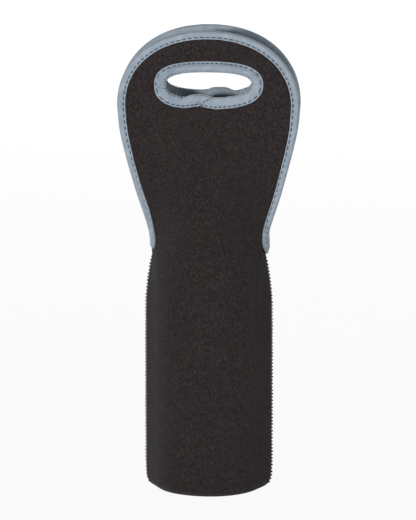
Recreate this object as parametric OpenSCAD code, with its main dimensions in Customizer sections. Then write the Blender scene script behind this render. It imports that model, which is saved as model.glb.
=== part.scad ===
// Padded carrier: a round sleeve of bonded laminate whose front and back panels rise
// past a narrow throat into two rounded lobes, each with a bound edge and a bound hand slot.
// The front faces -Y. The origin is the middle of the base, on the floor.

/* [Sleeve] */
// Depth of the round sleeve, front to back
sleeve_d = 82; // [76:0.5:92]
// How far each side seam stands out past the round of the sleeve
fin_reach = 5; // [4:0.1:8]
// Height of the narrow throat above the floor
throat_h = 174; // [160:1:185]
// How far each side draws in at the throat
throat_pinch = 4.8; // [3:0.1:6]
// Radius of the rounded bottom edge
corner_r = 7.5; // [6:0.1:9]

/* [Lobes] */
// Height of the whole carrier, to the top of the edge bindings
carrier_h = 340.5; // [328:0.5:360]
// Width of a lobe across its bound edges
lobe_w = 132.4; // [120:0.2:146]
// Height of a lobe's rounded top, above the place where it is widest
crown_h = 56; // [50:0.1:64]
// Distance between the lobes' outer faces beside the hand slots
lobe_waist_d = 38; // [34:0.5:46]
// Distance between the lobes' outer faces at their widest edges
lobe_edge_d = 20; // [17:0.5:26]
// Distance between the lobes' outer faces at the top
lobe_top_d = 33; // [26:0.5:38]
// Roundness of a lobe's top, where 2 is an ellipse
lobe_roundness = 2.15; // [2:0.05:2.8]
// How far below the throat the round section starts to turn flat
flat_below = 12; // [6:1:30]
// How far above the throat the section is flat
flat_above = 42; // [30:1:90]

/* [Fold] */
// Height of the fold line above the throat
fold_rise = 4; // [2:0.5:8]
// Gap between sleeve and lobe at the fold line
fold_gap = 0.4; // [0.3:0.05:0.8]
// Angle by which a lobe can close, with room to spare, in degrees
fold_close_angle = 3.3; // [2:0.1:4]

/* [Hand slots] */
// Length of the slot cut in the panel
slot_w = 64; // [54:1:72]
// Height of the slot cut in the panel
slot_h = 20; // [16:0.5:26]
// Distance of the slot's middle below the top of the carrier
slot_drop = 39.9; // [36:0.1:45]
// Roundness of the slot's ends, where 2 is an ellipse
slot_roundness = 2.5; // [2:0.1:3]

/* [Laminate] */
// Thickness of the outer jersey
jersey_t = 0.4; // [0.3:0.05:0.6]
// Thickness of the foam core
foam_t = 2.2; // [1.8:0.1:3]
// Thickness of the lining jersey
lining_t = 0.4; // [0.3:0.05:0.6]

/* [Bindings] */
// Thickness of the binding tape
tape_t = 0.8; // [0.5:0.05:1.2]
// Width of the edge binding on each face of the panel
edge_tape_w = 5.3; // [4.6:0.1:8]
// Width of the slot binding on each face of the panel
slot_tape_w = 7.4; // [6:0.1:8.5]

/* [Stitching] */
// Pitch of the stitches along the edge binding
edge_stitch_pitch = 4.5; // [3.5:0.1:6]
// Pitch of the stitches round the slot binding
slot_stitch_pitch = 3.4; // [3:0.1:5]
// Distance of a stitch row from the binding's inner edge
stitch_inset = 1.5; // [1:0.1:2.5]
// Width of the sewing thread
thread_w = 0.8; // [0.6:0.05:1]
// Height of a stitch's crown over the tape
thread_h = 0.4; // [0.3:0.05:0.6]
// Pitch of the overlock teeth along the side seams
seam_pitch = 2.2; // [2:0.1:3]
// Length of an overlock tooth round the seam
seam_tooth_l = 5; // [4:0.1:6]
// How far an overlock tooth stands out from the seam
seam_tooth_reach = 0.4; // [0.3:0.05:0.7]
// Pitch of the stitches round the base
base_stitch_pitch = 5; // [4:0.5:8]
// Length of a stitch across the base seam
base_stitch_l = 3; // [2:0.1:4]
// Height of a bar tack at the throat
tack_h = 6; // [4:0.5:8]
// Length of a bar tack round the seam
tack_l = 6.4; // [5:0.1:8]
// How far a bar tack stands out from the seam
tack_reach = 0.8; // [0.5:0.1:1.2]

/* [Hidden] */

// Colours of the cloth, the tape and the thread
jersey_colour = "#383332";
foam_colour = "#1f1f21";
lining_colour = "#262425";
tape_colour = "#8f9ba6";
thread_colour = "#56697c";
seam_thread_colour = "#2b2829";

// Clearance between sewn edges that lie side by side
seam_gap = 0.1;
// How far the sleeve's rounded edge stays off the floor
base_lift = 0.2;
// How deep a stitch beds into what it holds
thread_bed = 0.25;
// Small step used to find slopes on the sheet
probe = 0.001;

// Derived sizes
laminate_t = jersey_t + foam_t + lining_t;
sleeve_r = sleeve_d / 2;
sleeve_half_w = sleeve_r + fin_reach;
throat_half_w = sleeve_half_w - throat_pinch;
lobe_half_w = lobe_w / 2 - tape_t;
panel_top_h = carrier_h - tape_t;
fold_h = throat_h + fold_rise;
lobe_wide_h = panel_top_h - crown_h;
flare_h = lobe_wide_h - throat_h;
slot_centre_h = carrier_h - slot_drop;

// Draw-in of the sides, as a share of the pinch, against height up to the throat
waist_shares = [[0, 0.35], [0.08, 0.06], [0.2, 0.02], [0.5, 0], [0.8, 0.06], [0.88, 0.3],
                [0.94, 0.62], [1, 1]];
// Widening of the sides, as a share, against height from the throat to the widest place
flare_shares = [[0, 0], [0.08, 0.03], [0.16, 0.085], [0.295, 0.262], [0.43, 0.46],
                [0.57, 0.64], [0.705, 0.8], [0.84, 0.93], [1, 1]];
// Depth left over from the round sleeve, as a share, over the same height
drape_shares = [[0, 1], [0.08, 0.985], [0.2, 0.9], [0.3, 0.77], [0.4, 0.59],
                [0.53, 0.34], [0.67, 0.16], [0.83, 0.04], [1, 0]];
// Parting of the bound edges, as a share, over the same height
part_shares = [[0, 0], [0.06, 0.26], [0.15, 0.42], [0.3, 0.56], [0.5, 0.7], [0.75, 0.86], [1, 1]];
// How the flat section bulges between its edges
bulge_power = 2;
// How the lobes lean together above their widest place
lean_power = 1.5;

// Grid of the sleeve: columns across, corner steps, and rows as shares of the height left
sleeve_columns = 14;
corner_steps = 3;
sleeve_row_shares = [0.3, 0.6, 0.8, 0.88, 0.94, 1];
// Grid of a lobe: steps along each stretch of its outline, and rings as shares from the slot
fold_steps = 12;
side_steps = 9;
crown_steps = 18;
lobe_ring_shares = [0, 0.14, 0.36, 0.6, 0.83, 1];

function mix(a, b, t) = a + (b - a) * t;
function unit(v) = v / norm(v);
function smooth(t) = let (c = max(0, min(1, t))) c * c * (3 - 2 * c);

// A smooth curve through a table of [place, value] pairs
function slope_at(table, i) =
    let (a = table[max(0, i - 1)], b = table[min(len(table) - 1, i + 1)])
    (b[1] - a[1]) / (b[0] - a[0]);
function curve_at(x, table) =
    let (
        i = max([for (k = [0 : len(table) - 2]) if (k == 0 || table[k][0] <= x) k]),
        a = table[i],
        b = table[i + 1],
        w = b[0] - a[0],
        t = (x - a[0]) / w
    )
    (2 * t * t * t - 3 * t * t + 1) * a[1] + (t * t * t - 2 * t * t + t) * w * slope_at(table, i)
    + (3 * t * t - 2 * t * t * t) * b[1] + (t * t * t - t * t) * w * slope_at(table, i + 1);

// The sheet's half width, middle depth, edge depth and flatness at a height
function flare_share(z) = (z - throat_h) / flare_h;
function crown_share(z) = (z - lobe_wide_h) / crown_h;
function half_w(z) =
    z < throat_h ? sleeve_half_w - throat_pinch * curve_at(z / throat_h, waist_shares)
    : z < lobe_wide_h ? mix(throat_half_w, lobe_half_w, curve_at(flare_share(z), flare_shares))
    : lobe_half_w;
function middle_y(z) =
    z < throat_h ? sleeve_r
    : z < lobe_wide_h ? mix(lobe_waist_d / 2, sleeve_r, curve_at(flare_share(z), drape_shares))
    : mix(lobe_waist_d / 2, lobe_top_d / 2, pow(crown_share(z), lean_power));
function flatness(z) = smooth((z - throat_h + flat_below) / (flat_below + flat_above));

// The round section is an arc with a straight run on each side to the seam, w from the middle
function arc_r(w) = min(sleeve_r, w);
function arc_angle(w) = asin(arc_r(w) / w);
function arc_l(w) = arc_r(w) * arc_angle(w) * PI / 180;
function section_l(w) = arc_l(w) + sqrt(w * w - arc_r(w) * arc_r(w));

// A place on it, from -1 at the left seam to 1 at the right, as shares of width and depth
function round_at(s, w) =
    let (
        bend = arc_l(w) / section_l(w),
        turn = arc_angle(w) * min(1, abs(s) / bend),
        run = max(0, abs(s) - bend) * section_l(w) / arc_r(w)
    )
    [sign(s) * (sin(turn) + run * cos(turn)) * arc_r(w) / w, cos(turn) - run * sin(turn)];

// The panels lie face to face at a side seam, so their depth there follows their slope
function seam_depth(z) =
    let (
        f = flatness(z),
        w = half_w(z),
        across = mix(section_l(w) * cos(arc_angle(w)), w, f),
        back = middle_y(z) * (1 - f) * section_l(w) * sin(arc_angle(w)) / arc_r(w)
    )
    laminate_t * across / norm([across, back]) + seam_gap / 2;
function edge_y(z) =
    z < throat_h ? seam_depth(z)
    : z < lobe_wide_h
        ? mix(seam_depth(throat_h), lobe_edge_d / 2, curve_at(flare_share(z), part_shares))
    : mix(lobe_edge_d / 2, lobe_top_d / 2, crown_share(z));

// How far the rounded bottom edge draws the sheet in at a height
function corner_inset(z) =
    let (d = corner_r - max(0, z - base_lift))
    d <= 0 ? 0 : corner_r - sqrt(max(0, corner_r * corner_r - d * d));

// The front panel's outer face: flat cloth coordinates [u, z] wrapped round the carrier
function sheet_at(p, inset = 0) =
    let (
        z = p[1],
        s = p[0] / lobe_half_w,
        f = flatness(z),
        w = half_w(z),
        i = corner_inset(z) + inset,
        e = edge_y(z),
        round = round_at(s, w)
    )
    [
        (w - i) * mix(round[0], s, f),
        -(e + (middle_y(z) - i - e) * mix(round[1], pow(max(0, 1 - s * s), bulge_power), f)),
        z
    ];
function along(p, d) = unit(sheet_at(p + d * probe) - sheet_at(p - d * probe));
function normal_at(p) = unit(cross(along(p, [1, 0]), along(p, [0, 1])));

// Flat outline of a lobe, anticlockwise from its lower left corner
function fold_clear(u) =
    fold_h + fold_gap + (middle_y(fold_h) + sheet_at([u, fold_h])[1]) * tan(fold_close_angle);
function round_point(a, w, h, n) =
    [w * sign(cos(a)) * pow(abs(cos(a)), 2 / n), h * sign(sin(a)) * pow(abs(sin(a)), 2 / n)];
function crown_point(a) =
    [0, lobe_wide_h] + round_point(a, lobe_half_w, crown_h, lobe_roundness);
fold_line = [
    for (k = [0 : fold_steps - 1])
        let (u = mix(-lobe_half_w, lobe_half_w, k / fold_steps)) [u, fold_clear(u)]
];
right_side = [
    for (k = [0 : side_steps - 1])
        [lobe_half_w, mix(fold_clear(lobe_half_w), lobe_wide_h, k / side_steps)]
];
crown = [for (k = [0 : crown_steps]) crown_point(180 * k / crown_steps)];
left_side = [for (k = [side_steps - 1 : -1 : 1]) [-right_side[k][0], right_side[k][1]]];
lobe_outline = concat(fold_line, right_side, crown, left_side);
bound_edge = concat(right_side, crown, left_side, [fold_line[0]]);

// Flat outline of the hand slot, one point for each point of the lobe's outline
slot_centre = [0, slot_centre_h];
slot_outline = [
    for (p = lobe_outline)
        let (d = p - slot_centre)
        slot_centre + round_point(atan2(d[1], d[0]), slot_w / 2, slot_h / 2, slot_roundness)
];

// Outward directions in the flat cloth along an open or a closed line
function outward(line, i, closed) =
    let (
        n = len(line),
        a = closed ? line[(i + n - 1) % n] : line[max(0, i - 1)],
        b = closed ? line[(i + 1) % n] : line[min(n - 1, i + 1)],
        t = unit(b - a)
    )
    [t[1], -t[0]];
function shifted(line, d, closed) =
    [for (i = [0 : len(line) - 1]) line[i] + d * outward(line, i, closed)];

// One layer of the laminate, between two depths below the outer face
module layer(flat_points, quads, rims, top, bottom) {
    n = len(flat_points);
    normals = [for (p = flat_points) normal_at(p)];
    outer = [for (i = [0 : n - 1]) sheet_at(flat_points[i]) - normals[i] * top];
    inner = [for (i = [0 : n - 1]) sheet_at(flat_points[i]) - normals[i] * bottom];
    faces = concat(
        [for (q = quads) each [[q[0], q[1], q[2]], [q[0], q[2], q[3]]]],
        [for (q = quads) each [[q[2] + n, q[1] + n, q[0] + n], [q[3] + n, q[2] + n, q[0] + n]]],
        [for (e = rims) each [[e[1], e[0], e[0] + n], [e[1], e[0] + n, e[1] + n]]]
    );
    polyhedron(concat(outer, inner), faces, convexity = 6);
}

// Grid of the sleeve's front panel
sleeve_heights = concat(
    [for (k = [0 : corner_steps]) base_lift + corner_r * (1 - cos(90 * k / corner_steps))],
    [for (s = sleeve_row_shares) mix(base_lift + corner_r, fold_h, s)]
);
sleeve_rows = len(sleeve_heights) - 1;
sleeve_points = [
    for (z = sleeve_heights, k = [0 : sleeve_columns])
        [mix(-lobe_half_w, lobe_half_w, k / sleeve_columns), z]
];
function sleeve_index(k, row) = row * (sleeve_columns + 1) + k;
sleeve_quads = [
    for (r = [0 : sleeve_rows - 1], k = [0 : sleeve_columns - 1])
        [sleeve_index(k, r), sleeve_index(k, r + 1),
         sleeve_index(k + 1, r + 1), sleeve_index(k + 1, r)]
];
sleeve_rims = concat(
    [for (k = [0 : sleeve_columns - 1]) [sleeve_index(k + 1, 0), sleeve_index(k, 0)]],
    [for (k = [0 : sleeve_columns - 1])
        [sleeve_index(k, sleeve_rows), sleeve_index(k + 1, sleeve_rows)]],
    [for (r = [0 : sleeve_rows - 1]) [sleeve_index(0, r), sleeve_index(0, r + 1)]],
    [for (r = [0 : sleeve_rows - 1])
        [sleeve_index(sleeve_columns, r + 1), sleeve_index(sleeve_columns, r)]]
);
module sleeve_layer(top, bottom) {
    layer(sleeve_points, sleeve_quads, sleeve_rims, top, bottom);
}

// Grid of a lobe, in rings from the slot to the outline
lobe_count = len(lobe_outline);
lobe_rings = len(lobe_ring_shares) - 1;
lobe_points = [
    for (s = lobe_ring_shares, k = [0 : lobe_count - 1]) mix(slot_outline[k], lobe_outline[k], s)
];
function lobe_index(k, ring) = ring * lobe_count + k % lobe_count;
lobe_quads = [
    for (r = [0 : lobe_rings - 1], k = [0 : lobe_count - 1])
        [lobe_index(k, r), lobe_index(k + 1, r), lobe_index(k + 1, r + 1), lobe_index(k, r + 1)]
];
lobe_rims = concat(
    [for (k = [0 : lobe_count - 1]) [lobe_index(k, 0), lobe_index(k + 1, 0)]],
    [for (k = [0 : lobe_count - 1]) [lobe_index(k + 1, lobe_rings), lobe_index(k, lobe_rings)]]
);
module lobe_layer(top, bottom) {
    layer(lobe_points, lobe_quads, lobe_rims, top, bottom);
}

// Section of a tape folded over the panel's cut edge: e is the edge in flat coordinates,
// out the flat direction away from the cloth, and w the width of each leg
function tape_section(e, out, w) =
    let (
        leg = e - out * w,
        at_leg = sheet_at(leg),
        at_edge = sheet_at(e),
        n_leg = normal_at(leg),
        n_edge = normal_at(e),
        o = along(e, out)
    )
    [
        at_leg,
        at_leg + n_leg * tape_t,
        at_edge + n_edge * tape_t,
        at_edge + o * tape_t,
        at_edge + o * tape_t - n_edge * laminate_t,
        at_edge - n_edge * (laminate_t + tape_t),
        at_leg - n_leg * (laminate_t + tape_t),
        at_leg - n_leg * laminate_t,
        at_edge - n_edge * laminate_t,
        at_edge
    ];
tape_cap = [[0, 1, 2, 9], [9, 2, 3, 4, 5, 8], [8, 5, 6, 7]];

// A tape swept through its sections
module tape(sections, closed) {
    m = len(sections[0]);
    n = len(sections);
    last = closed ? n - 1 : n - 2;
    sides = [
        for (r = [0 : last], k = [0 : m - 1])
            let (a = r * m + k, b = r * m + (k + 1) % m)
            let (c = ((r + 1) % n) * m + (k + 1) % m, d = ((r + 1) % n) * m + k)
            each [[a, d, c], [a, c, b]]
    ];
    caps = closed ? [] : concat(
        tape_cap,
        [for (f = tape_cap) [for (k = [len(f) - 1 : -1 : 0]) f[k] + (n - 1) * m]]
    );
    polyhedron([for (s = sections) each s], concat(sides, caps), convexity = 6);
}

module edge_binding() {
    tape([
        for (i = [0 : len(bound_edge) - 1])
            tape_section(bound_edge[i], outward(bound_edge, i, false), edge_tape_w)
    ], false);
}

module slot_binding() {
    tape([
        for (i = [lobe_count - 1 : -1 : 0])
            tape_section(slot_outline[i], -outward(slot_outline, i, true), slot_tape_w)
    ], true);
}

// Running lengths along a flat line
function running(line) = [
    for (i = 0, s = 0; i < len(line); i = i + 1,
         s = s + (i < len(line) ? norm(line[i] - line[i - 1]) : 0)) s
];

// Stitches laid along a flat line on the tape, each covering a share of its pitch
stitch_cover_share = 0.62;
module stitches(line, pitch) {
    lengths = running(line);
    total = lengths[len(lengths) - 1];
    count = floor(total / pitch);
    u_table = [for (i = [0 : len(line) - 1]) [lengths[i], line[i][0]]];
    z_table = [for (i = [0 : len(line) - 1]) [lengths[i], line[i][1]]];
    for (k = [0 : count - 1]) {
        l = total * (k + 0.5) / count;
        p = [lookup(l, u_table), lookup(l, z_table)];
        q = [lookup(l + probe, u_table), lookup(l + probe, z_table)];
        n = normal_at(p);
        b = unit(cross(n, sheet_at(q) - sheet_at(p)));
        t = cross(b, n);
        c = sheet_at(p) + n * (tape_t - thread_bed);
        multmatrix([
            [t[0], b[0], n[0], c[0]],
            [t[1], b[1], n[1], c[1]],
            [t[2], b[2], n[2], c[2]],
            [0, 0, 0, 1]
        ])
            translate([-pitch * stitch_cover_share / 2, -thread_w / 2, 0])
                cube([pitch * stitch_cover_share, thread_w, thread_bed + thread_h]);
    }
}

module edge_stitching() {
    stitches(shifted(bound_edge, stitch_inset - edge_tape_w, false), edge_stitch_pitch);
}

module slot_stitching() {
    row = shifted(slot_outline, slot_tape_w - stitch_inset, true);
    stitches(concat(row, [row[0]]), slot_stitch_pitch);
}

// Overlock teeth over one side seam, from the base to the throat
seam_tooth_angle = 25;
seam_tooth_rise = (seam_tooth_l * sin(seam_tooth_angle) + thread_w) / 2;
seam_foot_h = base_lift + corner_r / 2;
tack_top_h = fold_h - fold_gap;
module seam_thread() {
    run = tack_top_h - tack_h - seam_tooth_rise - seam_foot_h;
    count = floor(run / seam_pitch);
    for (k = [0 : count - 1]) {
        z = seam_foot_h + run * (k + 0.5) / count;
        translate([half_w(z) - corner_inset(z) - thread_w, 0, z])
            rotate([seam_tooth_angle, 0, 0])
                translate([0, -seam_tooth_l / 2, -thread_w / 2])
                    cube([thread_w + seam_tooth_reach, seam_tooth_l, thread_w]);
    }
}

// Close bar of thread that locks the seam and the tape tails at the throat
module bar_tack() {
    translate([half_w(tack_top_h) - thread_w, -tack_l / 2, tack_top_h - tack_h])
        cube([thread_w + tack_reach, tack_l, tack_h]);
}

// Outline of the base, just inside the sleeve's turned-in edge
function base_half(inset) = [
    for (k = [0 : sleeve_columns])
        let (p = sheet_at([mix(-lobe_half_w, lobe_half_w, k / sleeve_columns), base_lift], inset))
        [p[0], p[1]]
];
function base_outline(inset) = concat(base_half(inset), [for (p = base_half(inset)) -p]);

module base_layer(low, high) {
    translate([0, 0, low])
        linear_extrude(high - low)
            polygon(base_outline(seam_gap));
}

// Stitches across the seam between the base and the sleeve, on the inside
module base_seam() {
    ring = base_outline(0);
    line = concat(ring, [ring[0]]);
    lengths = running(line);
    total = lengths[len(lengths) - 1];
    count = floor(total / base_stitch_pitch);
    x_table = [for (i = [0 : len(line) - 1]) [lengths[i], line[i][0]]];
    y_table = [for (i = [0 : len(line) - 1]) [lengths[i], line[i][1]]];
    for (k = [0 : count - 1]) {
        l = total * (k + 0.5) / count;
        translate([lookup(l, x_table), lookup(l, y_table), laminate_t - thread_bed])
            rotate([0, 0, atan2(lookup(l, y_table), lookup(l, x_table))])
                translate([-base_stitch_l / 2, -thread_w / 2, 0])
                    cube([base_stitch_l, thread_w, thread_bed + base_lift + thread_h]);
    }
}

module back() {
    rotate([0, 0, 180]) children();
}

module front_sleeve_jersey() { color(jersey_colour) sleeve_layer(0, jersey_t); }
module front_sleeve_foam() { color(foam_colour) sleeve_layer(jersey_t, jersey_t + foam_t); }
module front_sleeve_lining() { color(lining_colour) sleeve_layer(jersey_t + foam_t, laminate_t); }
module back_sleeve_jersey() { back() front_sleeve_jersey(); }
module back_sleeve_foam() { back() front_sleeve_foam(); }
module back_sleeve_lining() { back() front_sleeve_lining(); }

module base_jersey() { color(jersey_colour) base_layer(0, jersey_t); }
module base_foam() { color(foam_colour) base_layer(jersey_t, jersey_t + foam_t); }
module base_lining() { color(lining_colour) base_layer(jersey_t + foam_t, laminate_t); }

module front_lobe_jersey() { color(jersey_colour) lobe_layer(0, jersey_t); }
module front_lobe_foam() { color(foam_colour) lobe_layer(jersey_t, jersey_t + foam_t); }
module front_lobe_lining() { color(lining_colour) lobe_layer(jersey_t + foam_t, laminate_t); }
module back_lobe_jersey() { back() front_lobe_jersey(); }
module back_lobe_foam() { back() front_lobe_foam(); }
module back_lobe_lining() { back() front_lobe_lining(); }

module front_edge_binding() { color(tape_colour) edge_binding(); }
module back_edge_binding() { back() front_edge_binding(); }
module front_slot_binding() { color(tape_colour) slot_binding(); }
module back_slot_binding() { back() front_slot_binding(); }

module front_edge_stitching() { color(thread_colour) edge_stitching(); }
module back_edge_stitching() { back() front_edge_stitching(); }
module front_slot_stitching() { color(thread_colour) slot_stitching(); }
module back_slot_stitching() { back() front_slot_stitching(); }

module right_seam_thread() { color(seam_thread_colour) seam_thread(); }
module left_seam_thread() { back() right_seam_thread(); }
module base_seam_thread() { color(seam_thread_colour) base_seam(); }
module right_bar_tack() { color(seam_thread_colour) bar_tack(); }
module left_bar_tack() { back() right_bar_tack(); }

front_sleeve_jersey();
front_sleeve_foam();
front_sleeve_lining();
back_sleeve_jersey();
back_sleeve_foam();
back_sleeve_lining();
base_jersey();
base_foam();
base_lining();
front_lobe_jersey();
front_lobe_foam();
front_lobe_lining();
back_lobe_jersey();
back_lobe_foam();
back_lobe_lining();
front_edge_binding();
back_edge_binding();
front_slot_binding();
back_slot_binding();
front_edge_stitching();
back_edge_stitching();
front_slot_stitching();
back_slot_stitching();
left_seam_thread();
right_seam_thread();
base_seam_thread();
left_bar_tack();
right_bar_tack();
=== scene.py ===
# A padded carrier: a round sleeve whose two panels rise into lobes with bound hand slots
import random
from bisect import bisect_right
from functools import cache
from math import asin, atan2, copysign, cos, exp, hypot, pi, radians, sin, sqrt

import bmesh
import bpy
from mathutils import Matrix, Vector, noise


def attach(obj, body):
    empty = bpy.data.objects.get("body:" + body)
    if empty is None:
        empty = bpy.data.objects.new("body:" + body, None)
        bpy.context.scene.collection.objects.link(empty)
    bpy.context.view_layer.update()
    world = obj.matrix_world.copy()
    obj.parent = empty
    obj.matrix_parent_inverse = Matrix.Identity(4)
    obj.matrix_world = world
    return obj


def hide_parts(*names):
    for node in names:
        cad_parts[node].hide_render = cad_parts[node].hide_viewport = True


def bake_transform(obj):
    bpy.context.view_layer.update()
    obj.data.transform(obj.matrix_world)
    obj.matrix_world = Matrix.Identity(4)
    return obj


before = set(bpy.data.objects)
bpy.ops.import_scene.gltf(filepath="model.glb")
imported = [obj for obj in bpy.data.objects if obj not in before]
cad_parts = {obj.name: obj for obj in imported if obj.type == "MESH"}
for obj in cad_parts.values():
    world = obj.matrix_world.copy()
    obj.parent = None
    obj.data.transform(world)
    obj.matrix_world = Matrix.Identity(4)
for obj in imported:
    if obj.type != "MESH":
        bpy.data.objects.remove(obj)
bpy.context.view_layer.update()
mm = 0.001
print("frame loaded with", len(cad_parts), "nodes")


def addObject(name, data):
    thing = bpy.data.objects.new(name, data)
    bpy.context.scene.collection.objects.link(thing)
    return thing


def meshFrom(name, bm):
    mesh = bpy.data.meshes.new(name)
    bm.to_mesh(mesh)
    bm.free()
    return mesh


# Camera and lamps
camera = {"azimuth": 3.5, "elevation": 11.0, "distance": 5.0, "frameHeight": 0.3811,
          "across": -0.00073, "up": 0.1659, "sensor": 36.0, "farthest": 100.0}


def addCamera():
    a, e = radians(camera["azimuth"]), radians(camera["elevation"])
    back = Vector((sin(a) * cos(e), -cos(a) * cos(e), sin(e)))
    right = Vector((cos(a), sin(a), 0))
    up = back.cross(right)
    data = bpy.data.cameras.new("camera")
    data.sensor_width = camera["sensor"]
    data.lens = camera["sensor"] * camera["distance"] / camera["frameHeight"]
    data.clip_end = camera["farthest"]
    eye = addObject("camera", data)
    eye.location = right * camera["across"] + up * camera["up"] + back * camera["distance"]
    eye.rotation_euler = (-back).to_track_quat("-Z", "Y").to_euler()
    bpy.context.scene.camera = eye


lamps = {
    "key": {"place": (-1.35, -2.35, 0.6), "size": 0.25, "power": 54},
    "fill": {"place": (2.32, -1.28, 0.7), "size": 0.8, "power": 26},
    "back": {"place": (0.0, 2.6, 0.6), "size": 0.8, "power": 45},
}
lampsAim = Vector((0, 0, 0.2))


def addLamps():
    for name, lamp in lamps.items():
        data = bpy.data.lights.new(name, "AREA")
        data.size = lamp["size"]
        data.energy = lamp["power"]
        holder = addObject(name, data)
        holder.location = lamp["place"]
        aim = lampsAim - holder.location
        holder.rotation_euler = aim.to_track_quat("-Z", "Y").to_euler()


# Adds a node with its settings and inputs, links the inputs that are sockets, gives its output
def addNode(tree, kind, inputs=None, out=0, **settings):
    node = tree.nodes.new("ShaderNode" + kind)
    for name, value in settings.items():
        setattr(node, name, value)
    for name, value in (inputs or {}).items():
        if isinstance(value, bpy.types.NodeSocket):
            tree.links.new(value, node.inputs[name])
        else:
            node.inputs[name].default_value = linear(value) if isinstance(value, str) else value
    return node.outputs[out] if node.outputs else node


def linear(colour):
    shares = [int(colour[i:i + 2], 16) / 255 for i in (1, 3, 5)]
    return [s / 12.92 if s <= 0.04045 else ((s + 0.055) / 1.055) ** 2.4 for s in shares] + [1]


studio = {"ambient": 0.08, "floorColour": "#f4f4f4", "floorGlow": 0.93, "floorSize": 24.0}


def seenDirectly(tree):
    path = addNode(tree, "LightPath").node.outputs
    either = addNode(tree, "Math", {0: path["Is Camera Ray"], 1: path["Is Glossy Ray"]},
                     operation="MAXIMUM")
    return addNode(tree, "Math", {0: either, 1: path["Is Transmission Ray"]}, operation="MAXIMUM")


def addWorld():
    world = bpy.data.worlds.new("studio")
    bpy.context.scene.world = world
    world.use_nodes = True
    tree = world.node_tree
    tree.nodes.clear()
    ambient = addNode(tree, "Background", {"Color": (1, 1, 1, 1), "Strength": studio["ambient"]})
    white = addNode(tree, "Background", {"Color": (1, 1, 1, 1), "Strength": 1.0})
    both = addNode(tree, "MixShader", {0: seenDirectly(tree), 1: ambient, 2: white})
    addNode(tree, "OutputWorld", {"Surface": both})


def addFloor():
    bm = bmesh.new()
    bmesh.ops.create_grid(bm, x_segments=2, y_segments=2, size=studio["floorSize"] / 2)
    mesh = meshFrom("floor", bm)
    floor = addObject("floor", mesh)
    material = bpy.data.materials.new("paper sweep")
    material.use_nodes = True
    tree = material.node_tree
    tree.nodes.clear()
    paper = addNode(tree, "BsdfDiffuse", {"Color": studio["floorColour"]})
    glow = addNode(tree, "Emission", {"Color": (1, 1, 1, 1), "Strength": 1.0})
    share = addNode(tree, "Math", {0: seenDirectly(tree), 1: studio["floorGlow"]}, operation="MULTIPLY")
    both = addNode(tree, "MixShader", {0: share, 1: paper, 2: glow})
    addNode(tree, "OutputMaterial", {"Surface": both})
    mesh.materials.append(material)


addCamera()
addLamps()
addWorld()
addFloor()
bpy.context.scene.view_settings.view_transform = "Standard"
print("camera, lamps, world and floor are in place")


# Finishes. Every cloth has a UV map named cloth, whose unit is a metre of the flat cloth
def newFinish(name, roughness, sheen, specular):
    material = bpy.data.materials.new(name)
    material.use_nodes = True
    shader = material.node_tree.nodes["Principled BSDF"]
    shader.inputs["Roughness"].default_value = roughness
    shader.inputs["Specular IOR Level"].default_value = specular
    shader.inputs["Sheen Weight"].default_value = sheen
    shader.inputs["Sheen Roughness"].default_value = 0.5
    return material, material.node_tree, shader


def linkFinish(tree, shader, colour, height, relief, strength):
    bump = addNode(tree, "Bump", {"Height": height, "Distance": relief * mm, "Strength": strength})
    tree.links.new(colour, shader.inputs["Base Color"])
    tree.links.new(bump, shader.inputs["Normal"])


# The place on the flat cloth in millimetres, divided by the size of a pattern
def flatPlace(tree, sizeX, sizeY=None):
    flat = addNode(tree, "UVMap", uv_map="cloth")
    return addNode(tree, "Mapping", {0: flat, "Scale": (1 / mm / sizeX, 1 / mm / (sizeY or sizeX), 1)})


# A wave along a place, one to each unit of it
def waveOf(tree, place):
    turn = addNode(tree, "Math", {0: place, 1: 2 * pi}, operation="MULTIPLY")
    return addNode(tree, "Math", {0: turn}, operation="SINE")


# Goes from one colour towards another, by a share at most, as a value rises through a span
def tintBy(tree, value, span, first, second, most=1.0):
    share = addNode(tree, "MapRange", {0: value, 1: span[0], 2: span[1], 4: most})
    return addNode(tree, "Mix", {0: share, 6: first, 7: second}, out=2, data_type="RGBA")


# What jersey and tape share: fibres over their pattern, and worn clouds over their colour.
# A fibre's and a cloud's size come with their detail
def dressCloth(tree, shader, look, pattern, body, worn):
    fibres, clouds = [
        addNode(tree, "TexNoise", {"Vector": flatPlace(tree, size), "Scale": 1.0, "Detail": detail})
        for size, detail in (look["fibre"], look["cloud"])]
    height = addNode(tree, "Math", {0: fibres, 1: look["fibreShare"], 2: pattern}, operation="MULTIPLY_ADD")
    body = tintBy(tree, clouds, look["wear"], body, worn, look["wornShare"])
    linkFinish(tree, shader, body, height, look["relief"], look["strength"])


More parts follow.
